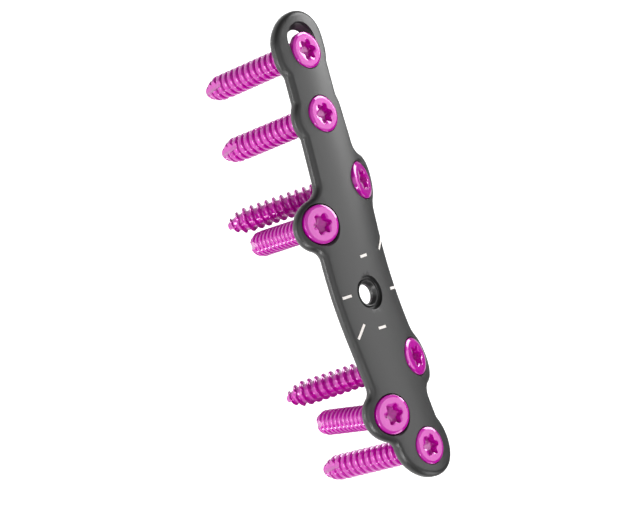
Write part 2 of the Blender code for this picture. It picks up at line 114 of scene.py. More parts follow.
class TreeWriter:
    """Adds nodes to one node tree and links them.

    Nodes are laid out in rows, a step right and a step down at a time. The mix numbers
    are the places of a Mix node's two colours and of its result.
    """

    step_right = 180.0
    step_down = 220.0
    row_length = 12
    mix_first = 6
    mix_second = 7
    mix_result = 2

    def __init__(self, tree: bpy.types.NodeTree) -> None:
        """Keep the tree that is written to."""
        self.tree = tree

    def add(self, kind: str, inputs: Inputs | None = None, **settings: object) -> bpy.types.Node:
        """Add a node, set its properties and feed its inputs.

        Args:
            kind: The node's type name.
            inputs: Sockets or plain values for its inputs, by name or by place.
            **settings: Properties of the node, by name.

        Returns:
            The new node.
        """
        node = self.tree.nodes.new(kind)
        row, column = divmod(len(self.tree.nodes), self.row_length)
        node.location = (self.step_right * column, -self.step_down * row)
        for name, value in settings.items():
            setattr(node, name, value)
        self.fill(node, inputs or {})
        return node

    def fill(self, node: bpy.types.Node, inputs: Inputs) -> None:
        """Link a socket into each named input of a node, or set it to a plain value.

        Args:
            node: The node.
            inputs: Sockets, numbers, vectors or colours, by the input's name or place.
        """
        for key, value in inputs.items():
            if isinstance(value, bpy.types.NodeSocket):
                self.tree.links.new(value, node.inputs[key])
            else:
                node.inputs[key].default_value = value

    def math(self, operation: str, *values: object) -> bpy.types.NodeSocket:
        """Add a Math node and give its result."""
        return self.add("ShaderNodeMath", dict(enumerate(values)), operation=operation).outputs[0]

    def vector(self, operation: str, *values: object) -> bpy.types.Node:
        """Add a Vector Math node, whose vector or value output is used."""
        return self.add("ShaderNodeVectorMath", dict(enumerate(values)), operation=operation)

    def bump(self, height: object) -> bpy.types.NodeSocket:
        """Turn a height in metres into a normal."""
        return self.add("ShaderNodeBump", {"Distance": 1.0, "Height": height}).outputs["Normal"]

    def mix_colour(self, share: object, first: object, second: object) -> bpy.types.NodeSocket:
        """Mix two colours.

        Args:
            share: How much of the second colour shows, 0 to 1.
            first: The first colour.
            second: The second colour.

        Returns:
            The mixed colour.
        """
        inputs = {"Factor": share, self.mix_first: first, self.mix_second: second}
        return self.add("ShaderNodeMix", inputs, data_type="RGBA").outputs[self.mix_result]

    def curve(
        self, value: object, points: Profile, sharp_start: bool = False
    ) -> bpy.types.NodeSocket:
        """Add a Float Curve node.

        Args:
            value: The number that is looked up, 0 to 1.
            points: The curve's points as place and height.
            sharp_start: Whether the curve leaves its first point in a straight line.

        Returns:
            The height of the curve at the value.
        """
        node = self.add("ShaderNodeFloatCurve", {"Value": value})
        line = node.mapping.curves[0]
        for place, height in points[1:-1]:
            line.points.new(place, height)
        for index, (point, location) in enumerate(zip(line.points, points)):
            point.location = location
            point.handle_type = "VECTOR" if sharp_start and index == 0 else "AUTO_CLAMPED"
        node.mapping.update()
        return node.outputs[0]


def new_group(
    name: str, kind: str, inputs: dict[str, tuple[str, object]], outputs: dict[str, str]
) -> Group:
    """Start a node group with named inputs and outputs.

    Args:
        name: The group's name.
        kind: The tree's type name.
        inputs: For each input its socket type and default, or None for no default.
        outputs: For each output its socket type.

    Returns:
        The tree, its input node and its output node.
    """
    tree = bpy.data.node_groups.new(name, kind)
    for label, (socket_type, default) in inputs.items():
        socket = tree.interface.new_socket(label, in_out="INPUT", socket_type=socket_type)
        if default is not None:
            socket.default_value = default
    for label, socket_type in outputs.items():
        tree.interface.new_socket(label, in_out="OUTPUT", socket_type=socket_type)
    return tree, tree.nodes.new("NodeGroupInput"), tree.nodes.new("NodeGroupOutput")


def new_material(name: str) -> tuple[bpy.types.Material, TreeWriter, bpy.types.Node]:
    """Start a material with a principled shader.

    Args:
        name: The material's name.

    Returns:
        The material, the writer of its tree and its shader.
    """
    material = bpy.data.materials.new(name)
    material.use_nodes = True
    tree = material.node_tree
    return material, TreeWriter(tree), tree.nodes["Principled BSDF"]


class Surface(Enum):
    """The two anodised finishes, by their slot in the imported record."""

    PLATE = "plate_finish"
    SCREW = "screw_finish"


@dataclass(frozen=True)
class Grain:
    """Fine blasted grain of an anodised surface: its size, depth and unevenness."""

    size: float
    depth: float
    roughness_spread: float


class GrainGroup:
    """Shader group that gives roughness and a height from a blasted grain."""

    detail = 2.0

    def __init__(self) -> None:
        """Build the group once."""
        self.tree, source, result = new_group(
            "blasted_grain",
            "ShaderNodeTree",
            {
                "Vector": ("NodeSocketVector", None),
                "Size": ("NodeSocketFloat", 0.1 * MM),
                "Depth": ("NodeSocketFloat", 0.001 * MM),
                "Roughness": ("NodeSocketFloat", 0.4),
                "Spread": ("NodeSocketFloat", 0.05),
            },
            {"Roughness": "NodeSocketFloat", "Height": "NodeSocketFloat"},
        )
        writer = TreeWriter(self.tree)
        given = source.outputs
        scale = writer.math("DIVIDE", 1.0, given["Size"])
        noise = writer.add(
            "ShaderNodeTexNoise", {"Vector": given["Vector"], "Scale": scale, "Detail": self.detail}
        )
        centred = writer.math("SUBTRACT", noise.outputs[0], 0.5)
        spread = writer.math("MULTIPLY", centred, given["Spread"])
        writer.fill(result, {
            "Roughness": writer.math("ADD", given["Roughness"], spread),
            "Height": writer.math("MULTIPLY", centred, given["Depth"]),
        })

    def place(
        self, writer: TreeWriter, vector: object, grain: Grain, roughness: float
    ) -> bpy.types.Node:
        """Put the group in a material.

        Args:
            writer: The material's tree.
            vector: Object coordinates.
            grain: The grain's sizes.
            roughness: The finish's mean roughness.

        Returns:
            The group node.
        """
        inputs = {
            "Vector": vector,
            "Size": grain.size,
            "Depth": grain.depth,
            "Roughness": roughness,
            "Spread": grain.roughness_spread,
        }
        return writer.add("ShaderNodeGroup", inputs, node_tree=self.tree)


class DashGroup:
    """Shader group that masks one straight etched dash and the dark burr round it."""

    def __init__(self) -> None:
        """Build the group once."""
        self.tree, source, result = new_group(
            "etched_dash",
            "ShaderNodeTree",
            {
                "Vector": ("NodeSocketVector", None),
                "Middle": ("NodeSocketVector", None),
                "Along": ("NodeSocketVector", None),
                "Across": ("NodeSocketVector", None),
                "Half Length": ("NodeSocketFloat", 0.6 * MM),
                "Half Width": ("NodeSocketFloat", 0.2 * MM),
                "Burr": ("NodeSocketFloat", 0.05 * MM),
                "Depth Reach": ("NodeSocketFloat", 0.4 * MM),
            },
            {"Dash": "NodeSocketFloat", "Burr": "NodeSocketFloat"},
        )
        writer = TreeWriter(self.tree)
        given = source.outputs
        offset = writer.vector("SUBTRACT", given["Vector"], given["Middle"]).outputs["Vector"]
        over = []
        for axis, half in (("Along", "Half Length"), ("Across", "Half Width")):
            share = writer.vector("DOT_PRODUCT", offset, given[axis])
            distance = writer.math("ABSOLUTE", share.outputs["Value"])
            over.append(writer.math("SUBTRACT", distance, given[half]))
        outside = writer.math("MAXIMUM", *over)
        reach = writer.vector("LENGTH", offset).outputs["Value"]
        limit = writer.math("ADD", given["Half Length"], given["Depth Reach"])
        near = writer.math("LESS_THAN", reach, limit)
        inner = writer.math("LESS_THAN", outside, 0.0)
        rim = writer.math("LESS_THAN", outside, given["Burr"])
        writer.fill(result, {
            "Dash": writer.math("MULTIPLY", inner, near),
            "Burr": writer.math("MULTIPLY", rim, near),
        })

    def place(
        self, writer: TreeWriter, vector: object, dash: EtchedDash, plate: PlateForm
    ) -> bpy.types.Node:
        """Put one dash in a material.

        Args:
            writer: The material's tree.
            vector: Object coordinates.
            dash: The dash on the flat blank.
            plate: The plate, which tells where the blank's points lie.

        Returns:
            The group node.
        """
        start = plate.outer_point(*dash.start)
        end = plate.outer_point(*dash.end)
        along = (end - start).normalized()
        outward = plate.outer_normal(
            (dash.start[0] + dash.end[0]) / 2.0, (dash.start[1] + dash.end[1]) / 2.0
        )
        inputs = {
            "Vector": vector,
            "Middle": (start + end) / 2.0,
            "Along": along,
            "Across": outward.cross(along).normalized(),
            "Half Length": (end - start).length / 2.0,
            "Half Width": dash.width / 2.0,
            "Burr": dash.burr,
        }
        return writer.add("ShaderNodeGroup", inputs, node_tree=self.tree)


@dataclass(frozen=True)
class EtchedDash:
    """A straight laser mark, from start to end as (across, along) on the blank."""

    start: Point
    end: Point
    width: float = 0.38 * MM
    burr: float = 0.06 * MM


@dataclass(frozen=True)
class PlateFinish:
    """Dark grey blasted and anodised titanium, with pale etched marks."""

    colour: Colour = linear_colour(73, 73, 73)
    mark_colour: Colour = linear_colour(246, 240, 236)
    burr_colour: Colour = linear_colour(58, 58, 58)
    roughness: float = 0.36
    metallic: float = 0.7
    mark_roughness: float = 0.8
    burr_depth: float = 0.01 * MM
    grain: Grain = Grain(size=0.09 * MM, depth=0.0006 * MM, roughness_spread=0.08)

    def build(self, grain: GrainGroup, dashes: DashGroup, plate: PlateForm) -> bpy.types.Material:
        """Make the material.

        Args:
            grain: The shared grain group.
            dashes: The shared dash group.
            plate: The plate with its marks.

        Returns:
            The finished material.
        """
        material, writer, shader = new_material("dark_anodised_titanium")
        place = writer.add("ShaderNodeTexCoord").outputs["Object"]
        marked: object = 0.0
        burred: object = 0.0
        for dash in plate.marks:
            node = dashes.place(writer, place, dash, plate)
            marked = writer.math("MAXIMUM", marked, node.outputs["Dash"])
            burred = writer.math("MAXIMUM", burred, node.outputs["Burr"])
        surface = writer.mix_colour(burred, self.colour, self.burr_colour)
        texture = grain.place(writer, place, self.grain, self.roughness).outputs
        matt = writer.math("MULTIPLY", marked, self.mark_roughness)
        dulled = writer.math("MULTIPLY", marked, self.metallic)
        cut = writer.math("MULTIPLY", burred, self.burr_depth)
        writer.fill(shader, {
            "Base Color": writer.mix_colour(marked, surface, self.mark_colour),
            "Roughness": writer.math("MAXIMUM", texture["Roughness"], matt),
            "Metallic": writer.math("SUBTRACT", self.metallic, dulled),
            "Normal": writer.bump(writer.math("SUBTRACT", texture["Height"], cut)),
        })
        return material


@dataclass(frozen=True)
class ScrewFinish:
    """Bright magenta anodised titanium, a clear oxide film over turned metal."""

    name: str = "magenta_anodised_titanium"
    colour: Colour = linear_colour(199, 0, 171)
    roughness: float = 0.3
    metallic: float = 0.15
    film: float = 1.0
    film_roughness: float = 0.05
    film_index: float = 1.78
    base_specular: float = 0.1
    grain: Grain = Grain(size=0.06 * MM, depth=0.0002 * MM, roughness_spread=0.06)

    def build(self, grain: GrainGroup) -> bpy.types.Material:
        """Make the material.

        Args:
            grain: The shared grain group.

        Returns:
            The finished material.
        """
        material, writer, shader = new_material(self.name)
        place = writer.add("ShaderNodeTexCoord").outputs["Object"]
        texture = grain.place(writer, place, self.grain, self.roughness).outputs
        writer.fill(shader, {
            "Base Color": self.colour,
            "Metallic": self.metallic,
            "Specular IOR Level": self.base_specular,
            "Coat Weight": self.film,
            "Coat Roughness": self.film_roughness,
            "Coat IOR": self.film_index,
            "Roughness": texture["Roughness"],
            "Normal": writer.bump(texture["Height"]),
        })
        return material


def plain_mesh(made: bpy.types.Object) -> None:
    """Turn an object's modifiers into plain mesh and remove them.

    Args:
        made: The object.
    """
    graph = bpy.context.evaluated_depsgraph_get()
    mesh = bpy.data.meshes.new_from_object(made.evaluated_get(graph))
    made.modifiers.clear()
    made.data = mesh


def linked(name: str, mesh: bpy.types.Mesh) -> bpy.types.Object:
    """Add a mesh to the scene.

    Args:
        name: The object's name.
        mesh: Its mesh.

    Returns:
        The new object.
    """
    made = bpy.data.objects.new(name, mesh)
    bpy.context.scene.collection.objects.link(made)
    return made


def ring_mesh(name: str, rings: list[Ring], count: int) -> bpy.types.Mesh:
    """Skin a stack of rings about the Z axis, closed at both ends by a point.

    Args:
        name: The mesh's name.
        rings: From the top inwards to the bottom: the radius at each step, and the height.
        count: How many steps a ring has.

    Returns:
        The closed mesh, its faces pointing outwards.
    """
    shape = bmesh.new()
    rows = []
    for radii, height in rings:
        rows.append([
            shape.verts.new((
                radii[step] * math.cos(FULL_TURN * step / count),
                radii[step] * math.sin(FULL_TURN * step / count),
                height,
            ))
            for step in range(count)
        ])
    first = shape.verts.new((0.0, 0.0, rings[0][1]))
    last = shape.verts.new((0.0, 0.0, rings[-1][1]))
    for step in range(count):
        after = (step + 1) % count
        shape.faces.new((first, rows[0][step], rows[0][after]))
        shape.faces.new((last, rows[-1][after], rows[-1][step]))
        for upper, lower in zip(rows, rows[1:]):
            shape.faces.new((upper[step], lower[step], lower[after], upper[after]))
    bmesh.ops.recalc_face_normals(shape, faces=shape.faces)
    mesh = bpy.data.meshes.new(name)
    shape.to_mesh(mesh)
    shape.free()
    return mesh


def turned_cutter(name: str, profile: Profile, count: int) -> bpy.types.Object:
    """Turn a profile into a round cutter about the Z axis.

    Args:
        name: The cutter's name.
        profile: Its corners as radius and height, from the top down.
        count: How many steps it has round the axis.

    Returns:
        The cutter.
    """
    rings = [([radius] * count, height) for radius, height in profile]
    return linked(name, ring_mesh(name, rings, count))


def cut_with(target: bpy.types.Object, tool: bpy.types.Object, operation: str, solver: str) -> None:
    """Cut or join with a tool and throw the tool away.

    Args:
        target: The object that is changed.
        tool: The tool.
        operation: DIFFERENCE or UNION.
        solver: The Boolean solver's name.
    """
    boolean = target.modifiers.new(tool.name, "BOOLEAN")
    boolean.operation = operation
    boolean.solver = solver
    boolean.object = tool
    plain_mesh(target)
    bpy.data.objects.remove(tool, do_unlink=True)


@dataclass(frozen=True)
class Lobe:
    """A round lobe of the flat blank's outline."""

    across: float
    along: float
    radius: float


@dataclass
class PlateForm:
    """The plate: a flat blank with a rounded edge, bent to the bone and drilled.

    centre_profile gives the centre hole as radius and height from the outer face, from
    its mouth down to its bore, with a groove and a rounded lip on the way.
    """

    thickness: float = 1.4 * MM
    edge_radius: float = 0.85 * MM
    bone_edge: float = 0.12 * MM
    bone_radius: float = 15.0 * MM
    bow_radius: float = 450.0 * MM
    arm_bend_radius: float = 50.0 * MM
    arm_bend_centre: float = 1.3 * MM
    upper_arm_angle: float = 7.5 * DEG
    lower_arm_angle: float = 7.4 * DEG
    slot_travel: float = 1.45 * MM
    end_travel: float = 1.06 * MM
    neck_fillet: float = 0.9 * MM
    lobe_fillet: float = 1.9 * MM
    corner_fillet: float = 1.4 * MM
    slot_lobe: Lobe = Lobe(-0.24 * MM, 33.4 * MM, 4.55 * MM)
    upper_lobe: Lobe = Lobe(-0.15 * MM, 24.6 * MM, 4.45 * MM)
    upper_right: Lobe = Lobe(4.55 * MM, 14.65 * MM, 3.97 * MM)
    upper_left: Lobe = Lobe(-4.6 * MM, 10.6 * MM, 3.6 * MM)
    lower_right: Lobe = Lobe(4.15 * MM, -9.95 * MM, 4.19 * MM)
    lower_left: Lobe = Lobe(-3.7 * MM, -16.4 * MM, 3.75 * MM)
    end_lobe: Lobe = Lobe(0.1 * MM, -21.23 * MM, 4.84 * MM)
    right_edges: tuple[float, ...] = (3.77 * MM, 4.64 * MM, 6.46 * MM, 4.02 * MM)
    left_edges: tuple[float | None, ...] = (3.96 * MM, 3.93 * MM, 5.4 * MM, None)
    centre_flare: float = 0.1 * MM
    centre_profile: Profile = (
        (2.35 * MM, -0.03 * MM),
        (2.33 * MM, -0.12 * MM),
        (2.29 * MM, -0.64 * MM),
        (2.21 * MM, -0.72 * MM),
        (1.94 * MM, -0.72 * MM),
        (1.86 * MM, -0.64 * MM),
        (1.82 * MM, -0.5 * MM),
        (1.75 * MM, -0.45 * MM),
        (1.66 * MM, -0.47 * MM),
        (1.6 * MM, -0.56 * MM),
        (1.42 * MM, -0.84 * MM),
        (1.35 * MM, -0.96 * MM),
    )
    arc_step: float = 4.0 * DEG
    edge_steps: int = 8
    bone_edge_steps: int = 2
    merge_distance: float = 1e-6
    grid_across: float = 0.8 * MM
    grid_along: float = 1.6 * MM
    hole_steps: int = 128
    marks: tuple[EtchedDash, ...] = ()

    def arc(self, centre: Point, radius: float, start: float, end: float) -> list[Point]:
        """Points on an arc, both ends included.

        Args:
            centre: The arc's centre.
            radius: Its radius.
            start: The angle where it starts.
            end: The angle where it ends.

        Returns:
            The points, with a turn of arc_step or less from one to the next.
        """
        steps = max(2, math.ceil(abs(end - start) / self.arc_step))
        angles = [start + (end - start) * step / steps for step in range(steps + 1)]
        return [
            (centre[0] + radius * math.cos(angle), centre[1] + radius * math.sin(angle))
            for angle in angles
        ]

    @staticmethod
    def edge_fillet(
        centre: Point, radius: float, edge: float, fillet: float, below: bool
    ) -> Point:
        """Centre of a fillet between a lobe and the straight edge next to it.

        Args:
            centre: The lobe's centre.
            radius: The lobe's radius.
            edge: The straight edge's distance from the middle line.
            fillet: The fillet's radius.
            below: Whether the edge runs on below the lobe, or above it.

        Returns:
            The fillet's centre.
        """
        reach = radius + fillet
        sideways = min(edge + fillet - centre[0], reach)
        rise = math.sqrt(reach**2 - sideways**2)
        return centre[0] + sideways, centre[1] - rise if below else centre[1] + rise

    @staticmethod
    def lobe_corner(
        upper: Point, upper_radius: float, lower: Point, lower_radius: float, fillet: float
    ) -> Point:
        """Centre of a fillet in the outer corner between two lobes that overlap.

        Args:
            upper: The upper lobe's centre.
            upper_radius: Its radius.
            lower: The lower lobe's centre.
            lower_radius: Its radius.
            fillet: The fillet's radius.

        Returns:
            The fillet's centre.
        """
        first = upper_radius + fillet
        second = lower_radius + fillet
        gap = math.dist(upper, lower)
        along = (gap**2 + first**2 - second**2) / (2.0 * gap)
        out = math.sqrt(first**2 - along**2)
        step = ((lower[0] - upper[0]) / gap, (lower[1] - upper[1]) / gap)
        across = upper[0] + step[0] * along - step[1] * out
        return across, upper[1] + step[1] * along + step[0] * out

    def side(
        self,
        sign: int,
        lobes: tuple[Lobe, ...],
        edges: tuple[float | None, ...],
        fillets: tuple[tuple[float, float], ...],
    ) -> list[Point]:
        """One side of the outline, from the slot end down.

        Args:
            sign: 1 for the right side and -1 for the left.
            lobes: The lobes on this side, from the slot down.
            edges: The straight edge between each two lobes, or None where they meet.
            fillets: The radii that join each edge to its lobes.

        Returns:
            The points as (across, along).
        """

        def bearing(centre: Point, target: Point) -> float:
            """Angle at which a target lies, seen from a centre."""
            return math.atan2(target[1] - centre[1], target[0] - centre[0])

        points = []
        start = math.pi / 2.0
        for index, lobe in enumerate(lobes):
            centre = (sign * lobe.across, lobe.along)
            if index == len(edges):
                points += self.arc(centre, lobe.radius, start, -math.pi / 2.0)
                continue
            edge = edges[index]
            upper_fillet, lower_fillet = fillets[index]
            below = lobes[index + 1]
            next_centre = (sign * below.across, below.along)
            if edge is None:
                corner = self.lobe_corner(
                    centre, lobe.radius, next_centre, below.radius, upper_fillet
                )
                leave = bearing(centre, corner)
                points += self.arc(centre, lobe.radius, start, leave)
                start = bearing(next_centre, corner)
                points += self.arc(corner, upper_fillet, leave + math.pi, start + math.pi)
                continue
            upper = self.edge_fillet(centre, lobe.radius, edge, upper_fillet, below=True)
            lower = self.edge_fillet(next_centre, below.radius, edge, lower_fillet, below=False)
            leave = bearing(centre, upper)
            points += self.arc(centre, lobe.radius, start, leave)
            points += self.arc(upper, upper_fillet, leave + math.pi, math.pi)
            start = bearing(next_centre, lower)
            points += self.arc(lower, lower_fillet, math.pi, math.pi + start)
        return [(sign * across, along) for across, along in points]

    @staticmethod
    def stretched(along: float, centre: float, travel: float) -> float:
        """Move what lies beyond the slot screw's centre on by a travel."""
        return along + travel if along > centre + SAME_PLACE else along

    def outline(self) -> list[Point]:
        """The blank's closed outline.

        Returns:
            Its points as (across, along).
        """
        neck = self.neck_fillet
        lobe = self.lobe_fillet
        corner = self.corner_fillet
        right = self.side(
            1,
            (self.slot_lobe, self.upper_lobe, self.upper_right, self.lower_right, self.end_lobe),
            self.right_edges,
            ((neck, neck), (neck, lobe), (lobe, lobe), (lobe, neck)),
        )
        left = self.side(
            -1,
            (self.slot_lobe, self.upper_lobe, self.upper_left, self.lower_left, self.end_lobe),
            self.left_edges,
            ((neck, neck), (neck, lobe), (lobe, lobe), (corner, corner)),
        )
        ring = left + right[::-1]
        centre = self.slot_lobe.along
        return [(across, self.stretched(along, centre, self.end_travel)) for across, along in ring]

    def arm_offset(self, along: float) -> float:
        """Sideways place of the middle line, where the two arms meet in a bend.

        Args:
            along: Place along the blank.

        Returns:
            The middle line's place across.
        """
        upper_end = self.arm_bend_radius * math.sin(self.upper_arm_angle)
        lower_end = -self.arm_bend_radius * math.sin(self.lower_arm_angle)
        reach = along - self.arm_bend_centre
        bend = min(max(reach, lower_end), upper_end)
        offset = self.arm_bend_radius - math.sqrt(self.arm_bend_radius**2 - bend**2)
        offset += max(reach - upper_end, 0.0) * math.tan(self.upper_arm_angle)
        offset += max(lower_end - reach, 0.0) * math.tan(self.lower_arm_angle)
        return offset

    def bent(self, across: float, along: float, height: float) -> Vector:
        """Where a point of the flat blank lies once the blank follows the bone.

        Args:
            across: Its place across the blank.
            along: Its place along the blank.
            height: Its height over the bone side.

        Returns:
            The point in the row frame.
        """
        angle = across / self.bone_radius
        middle = self.arm_offset(along) - self.arm_offset(0.0)
        return Vector((
            middle + (self.bone_radius + height) * math.sin(angle),
            along + height * along / self.bow_radius,
            -along * along / (2.0 * self.bow_radius)
            + (self.bone_radius + height) * math.cos(angle)
            - self.bone_radius,
        ))

    def outer_point(self, across: float, along: float) -> Vector:
        """A point on the outer face."""
        return self.bent(across, along, self.thickness)

    def outer_normal(self, across: float, along: float) -> Vector:
        """The outer face's normal at a point of the blank."""
        return (self.outer_point(across, along) - self.bent(across, along, 0.0)).normalized()

    def blank(self) -> bpy.types.Mesh:
        """Make the blank with its edges rounded, gridded and bent to the bone.

        Returns:
            The blank's mesh.
        """
        shape = bmesh.new()
        corners = [shape.verts.new((across, along, 0.0)) for across, along in self.outline()]
        bmesh.ops.remove_doubles(shape, verts=corners, dist=self.merge_distance)
        bone_face = shape.faces.new(shape.verts)
        bone_face.normal_update()
        if bone_face.normal.z > 0.0:
            bone_face.normal_flip()
        raised = bmesh.ops.extrude_face_region(shape, geom=[bone_face], use_keep_orig=True)
        outer = [item for item in raised["geom"] if isinstance(item, bmesh.types.BMVert)]
        bmesh.ops.translate(shape, verts=outer, vec=(0.0, 0.0, self.thickness))
        bmesh.ops.recalc_face_normals(shape, faces=shape.faces)
        self.round_rim(shape, self.thickness, self.edge_radius, self.edge_steps)
        self.round_rim(shape, 0.0, self.bone_edge, self.bone_edge_steps)
        self.grid(shape)
        for vertex in shape.verts:
            vertex.co = self.bent(*vertex.co)
        mesh = bpy.data.meshes.new("plate_blank")
        shape.to_mesh(mesh)
        shape.free()
        return mesh

    @staticmethod
    def round_rim(shape: bmesh.types.BMesh, height: float, radius: float, segments: int) -> None:
        """Round the rim of one flat face of the blank.

        Args:
            shape: The blank.
            height: The face's height.
            radius: The rounding's radius.
            segments: Its steps.
        """
        rim = [
            edge
            for edge in shape.edges
            if all(abs(vertex.co.z - height) < SAME_PLACE for vertex in edge.verts)
        ]
        bmesh.ops.bevel(
            shape,
            geom=rim,
            offset=radius,
            offset_type="OFFSET",
            segments=segments,
            profile=0.5,
            affect="EDGES",
        )

    def grid(self, shape: bmesh.types.BMesh) -> None:
        """Cut the blank along a grid, so that its flat faces can follow the bends.

        Args:
            shape: The blank.
        """
        spans = [(vertex.co.x, vertex.co.y) for vertex in shape.verts]
        for axis, step in ((0, self.grid_across), (1, self.grid_along)):
            low = min(span[axis] for span in spans)
            high = max(span[axis] for span in spans)
            for line in range(math.ceil(low / step), math.floor(high / step) + 1):
                place = Vector((0.0, 0.0, 0.0))
                place[axis] = line * step
                normal = Vector((0.0, 0.0, 0.0))
                normal[axis] = 1.0
                bmesh.ops.bisect_plane(
                    shape,
                    geom=list(shape.verts) + list(shape.edges) + list(shape.faces),
                    dist=SAME_PLACE,
                    plane_co=place,
                    plane_no=normal,
                )
        bmesh.ops.triangulate(shape, faces=[face for face in shape.faces if len(face.verts) > 4])

    def drilled(self, name: str, screws: list[BoneScrew]) -> bpy.types.Object:
        """The bent blank with the seat of every screw, the slot and the centre hole.

        Args:
            name: The object's name.
            screws: The screws that sit in the plate.

        Returns:
            The drilled plate, without a material.
        """
        plate = linked(name, self.blank())
        for screw in screws:
            cutter = screw.seat_cutter(self.hole_steps)
            if screw.slotted:
                for vertex in cutter.data.vertices:
                    vertex.co.y = self.stretched(vertex.co.y, 0.0, self.slot_travel)
            cutter.data.transform(screw.placing)
            cut_with(plate, cutter, "DIFFERENCE", "EXACT")
        cut_with(plate, self.centre_cutter(), "DIFFERENCE", "EXACT")
        return plate

    def centre_cutter(self) -> bpy.types.Object:
        """Make the tool for the stepped centre hole.

        Returns:
            The cutter, in its place on the bent plate.
        """
        flared = self.centre_profile[0][0] + self.centre_flare
        profile = (
            (flared, CUTTER_REACH),
            (flared, 0.0),
            *self.centre_profile,
            (self.centre_profile[-1][0], -self.thickness - CUTTER_REACH),
        )
        cutter = turned_cutter("centre_hole_cutter", profile, self.hole_steps)
        cutter.data.transform(Matrix.Translation(self.outer_point(0.0, 0.0)))
        return cutter


@dataclass(frozen=True)
class ThreadForm:
    """Sizes of one kind of bone screw, along its axis from the head's face.

    ridge gives the thread's height over the core along one pitch, towards the tip, and
    nose gives how far the shaft is drawn in from its point up. Both run from 0 to 1.
    """

    pitch: float
    core_radius: float
    length: float
    head_radius: float
    rim_height: float
    bevel_width: float
    gap: float
    tip_length: float
    flute_depth: float
    flute_lean: float
    flute_turn: float
    ridge: Profile
    nose: Profile
    crest_radius: float = 1.75 * MM
    flute_radius: float = 0.65 * MM
    finish: ScrewFinish = ScrewFinish()


LONG_NOSE = ((0.0, 0.0), (0.02, 0.2), (0.08, 0.34), (0.6, 0.8), (1.0, 1.0))
BLUNT_NOSE = ((0.0, 0.0), (0.04, 0.4), (0.16, 0.62), (0.5, 0.88), (1.0, 1.0))


class ScrewKind(Enum):
    """The three kinds of screw in the set."""

    CORTICAL = ThreadForm(
        pitch=1.12 * MM,
        core_radius=1.4 * MM,
        length=20.0 * MM,
        head_radius=2.52 * MM,
        rim_height=0.44 * MM,
        bevel_width=0.36 * MM,
        gap=0.07 * MM,
        tip_length=2.6 * MM,
        flute_depth=1.3 * MM,
        flute_lean=0.27,
        flute_turn=44.0 * DEG,
        ridge=(
            (0.0, 0.0),
            (0.07, 0.1),
            (0.16, 0.75),
            (0.24, 0.96),
            (0.46, 1.0),
            (0.7, 0.96),
            (0.81, 0.75),
            (0.93, 0.1),
            (1.0, 0.0),
        ),
        nose=LONG_NOSE,
    )
    CANCELLOUS = ThreadForm(
        pitch=1.14 * MM,
        core_radius=1.2 * MM,
        length=20.6 * MM,
        head_radius=2.58 * MM,
        rim_height=0.52 * MM,
        bevel_width=0.38 * MM,
        gap=0.12 * MM,
        tip_length=2.6 * MM,
        flute_depth=1.0 * MM,
        flute_lean=0.24,
        flute_turn=44.0 * DEG,
        ridge=(
            (0.0, 0.0),
            (0.08, 0.06),
            (0.16, 0.5),
            (0.23, 0.95),
            (0.28, 1.0),
            (0.33, 0.95),
            (0.4, 0.5),
            (0.5, 0.05),
            (0.65, 0.0),
            (1.0, 0.0),
        ),
        nose=LONG_NOSE,
    )
    LOCKING = ThreadForm(
        pitch=0.97 * MM,
        core_radius=1.5 * MM,
        length=17.0 * MM,
        head_radius=2.66 * MM,
        rim_height=0.52 * MM,
        bevel_width=0.38 * MM,
        gap=0.2 * MM,
        tip_length=1.6 * MM,
        flute_depth=0.8 * MM,
        flute_lean=0.3,
        flute_turn=55.0 * DEG,
        ridge=(
            (0.0, 0.0),
            (0.08, 0.12),
            (0.35, 0.9),
            (0.5, 1.0),
            (0.65, 0.9),
            (0.92, 0.12),
            (1.0, 0.0),
        ),
        nose=BLUNT_NOSE,
        finish=ScrewFinish(
            name="magenta_anodised_titanium_fine", roughness=0.34, film_roughness=0.08
        ),
    )


@dataclass(frozen=True)
class SocketForm:
    """The six-pointed driver socket that all the heads share, with a drilled point.

    The floor is a share of the walls' outline, and the drilled point begins a step below
    it at a share of the waist. The edge at the mouth is broken, and break_share tells how
    far up the break its middle ring lies.
    """

    point_radius: float = 1.5 * MM
    waist_radius: float = 1.04 * MM
    depth: float = 1.05 * MM
    lobes: int = 6
    sharpness: float = 1.25
    floor_share: float = 0.97
    floor_round: float = 0.05 * MM
    drill_share: float = 0.98
    drill_step: float = 0.02 * MM
    drill_depth: float = 0.38 * MM
    drill_point: float = 0.02 * MM
    mouth_break: float = 0.05 * MM
    break_share: float = 0.3

    def radius(self, turn: float) -> float:
        """Radius of the socket's wall at a turn about the axis."""
        wave = 0.5 + 0.5 * math.cos(turn * self.lobes)
        return self.waist_radius + (self.point_radius - self.waist_radius) * wave**self.sharpness


